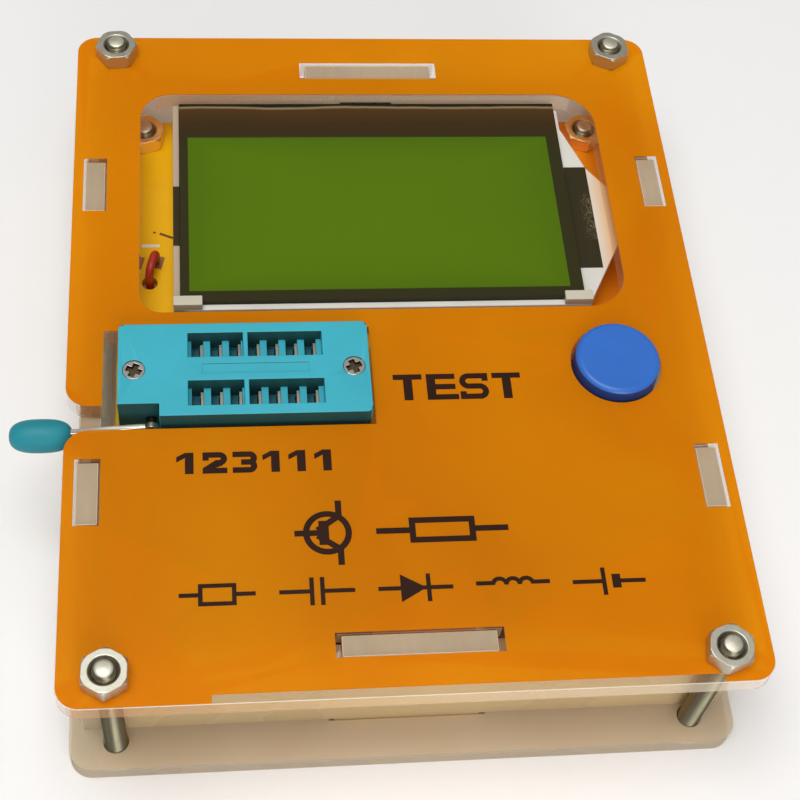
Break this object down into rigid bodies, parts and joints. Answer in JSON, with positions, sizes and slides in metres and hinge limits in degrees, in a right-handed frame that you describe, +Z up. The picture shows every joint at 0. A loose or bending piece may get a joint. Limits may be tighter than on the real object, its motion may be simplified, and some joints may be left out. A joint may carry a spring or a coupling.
{
  "type": "component tester",
  "caption": "Handheld electronic component tester in a laser-cut acrylic case, with a green graphic display, a lever-locked test socket and a round push button.",
  "frame": {"origin": "centre of the case footprint on the plane that the bottom panel rests on", "axes": "+Z up, +X to the user's right, +Y towards the rear edge, where the display is"},
  "size_m": [0.0952, 0.109, 0.0265],
  "materials": {
    "acrylic_top": "polished clear acrylic",
    "face_film": "satin orange film",
    "print_ink": "matt print",
    "acrylic_bottom": "clear acrylic with a frosted face",
    "acrylic_side": "laser-cut clear acrylic",
    "acrylic_end": "laser-cut clear acrylic",
    "screw_steel": "bright zinc-plated steel",
    "nut_steel": "bright nickel-plated steel",
    "nut_board": "bright nickel-plated steel",
    "spacer_nylon": "natural nylon",
    "board_yellow": "gloss yellow solder resist on glass fibre",
    "solder": "solder-coated metal",
    "white_plastic": "white moulded plastic",
    "lcd_glass": "dark display glass",
    "lcd_mask": "dark glossy border",
    "lcd_green": "green display area",
    "black_tape": "creased black tape",
    "ribbon": "flexible ribbon",
    "teal": "teal moulded plastic",
    "teal_dark": "dark teal moulded plastic",
    "contact_metal": "plated contacts",
    "screw_bright": "bright plated steel",
    "lever_steel": "bright plated steel",
    "black_plastic": "black moulded plastic",
    "switch_metal": "plated steel",
    "blue_plastic": "blue moulded plastic",
    "chip_black": "black epoxy",
    "can_metal": "aluminium can",
    "battery_case": "printed steel jacket",
    "red_wire": "red insulation",
    "black_wire": "black insulation"
  },
  "bodies": {
    "case": {"top_panel": "acrylic_top", "face_film": "face_film", "legend_print": "print_ink", "bottom_panel": "acrylic_bottom", "left_wall": "acrylic_side", "right_wall": "acrylic_side", "front_wall": "acrylic_end", "rear_wall": "acrylic_end", "case_screws": "screw_steel", "case_nuts": "nut_steel", "board_spacers": "spacer_nylon", "board_screws": "screw_steel", "board_nuts": "nut_board", "circuit_board": "board_yellow", "lead_pads": "solder", "lcd_frame": "white_plastic", "lcd_glass": "lcd_glass", "lcd_mask": "lcd_mask", "lcd_screen": "lcd_green", "lcd_clips": "white_plastic", "lcd_side_tape": "black_tape", "lcd_tab_tape": "black_tape", "lcd_ribbon": "ribbon", "socket_base": "teal_dark", "socket_cover": "teal", "socket_contacts": "contact_metal", "socket_screws": "screw_bright", "switch_body": "black_plastic", "switch_cover": "switch_metal", "switch_pins": "solder", "microcontroller": "chip_black", "crystal": "switch_metal", "regulator": "chip_black", "regulator_legs": "solder", "board_capacitors": "can_metal", "battery_body": "battery_case", "battery_terminals": "switch_metal", "battery_snap": "black_plastic", "snap_terminals": "switch_metal", "red_lead": "red_wire", "black_lead": "black_wire"},
    "socket_slider": {"socket_slider": "teal_dark"},
    "lever": {"lever_arm": "lever_steel", "lever_crank": "lever_steel", "lever_knob": "teal_dark"},
    "button": {"switch_plunger": "black_plastic", "button_cap": "blue_plastic"}
  },
  "joints": [
    {"name": "socket_lever", "type": "hinge", "parent": "case", "child": "lever", "pos_m": [-0.03275, -0.0147, 0.0213], "axis": [0, 1, 0], "range_deg": [0, 90]},
    {"name": "socket_slide", "type": "slide", "parent": "case", "child": "socket_slider", "axis": [1, 0, 0], "range_m": [-0.0009048, 0]},
    {"name": "test_button", "type": "slide", "parent": "case", "child": "button", "axis": [0, 0, -1], "range_m": [0, 0.0003], "stiffness_N_per_m": 4000, "springref_m": -0.00006}
  ],
  "couplings": [
    {"joint": "socket_lever", "follows": "socket_slide", "rad_per_m": -1736.1}
  ]
}
